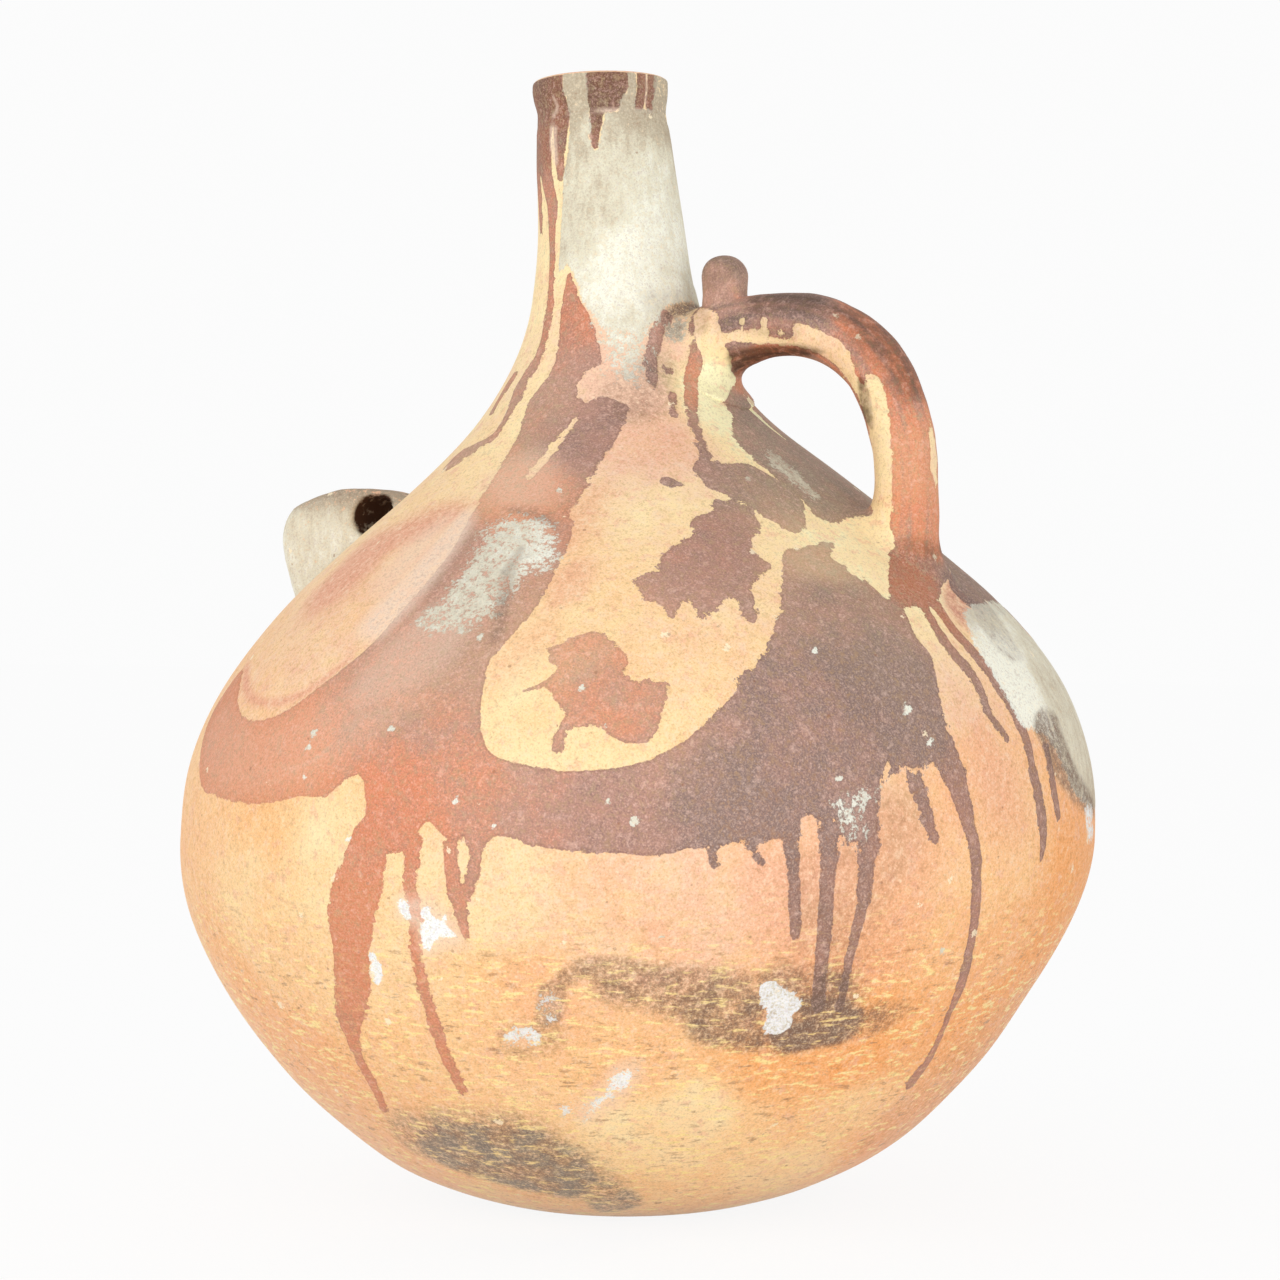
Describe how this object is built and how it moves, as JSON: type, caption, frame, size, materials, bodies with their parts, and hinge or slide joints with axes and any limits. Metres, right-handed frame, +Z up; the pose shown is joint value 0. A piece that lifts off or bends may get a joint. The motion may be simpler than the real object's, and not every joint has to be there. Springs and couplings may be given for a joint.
{
  "type": "terracotta water jug",
  "caption": "Round-bodied terracotta water jug with a long narrow neck, a banded rim, a coil handle with a thumb knob, and a pierced rope lug on the far shoulder.",
  "frame": {"origin": "on the ground under the middle of the widest ring of the body", "axes": "+Z up, +X towards the handle, -X towards the rope lug"},
  "size_m": [0.368, 0.3678, 0.4512],
  "materials": {
    "bare_terracotta": "burnished satin terracotta with fire clouds, grit and slip runs",
    "slip_painted_terracotta": "matt terracotta with poured red-brown slip swags, runs and blotches",
    "lime_washed_terracotta": "matt terracotta under a worn chalky wash",
    "red_slip": "satin red-brown slip, worn through on the edges",
    "pale_clay": "matt pale clay with grey and mauve stains"
  },
  "bodies": {
    "root": {"base_disc": "bare_terracotta", "lower_bowl": "bare_terracotta", "shoulder": "slip_painted_terracotta", "neck": "lime_washed_terracotta", "rim_collar": "red_slip", "handle": "red_slip", "thumb_knob": "red_slip", "rope_lug": "pale_clay"}
  },
  "joints": []
}
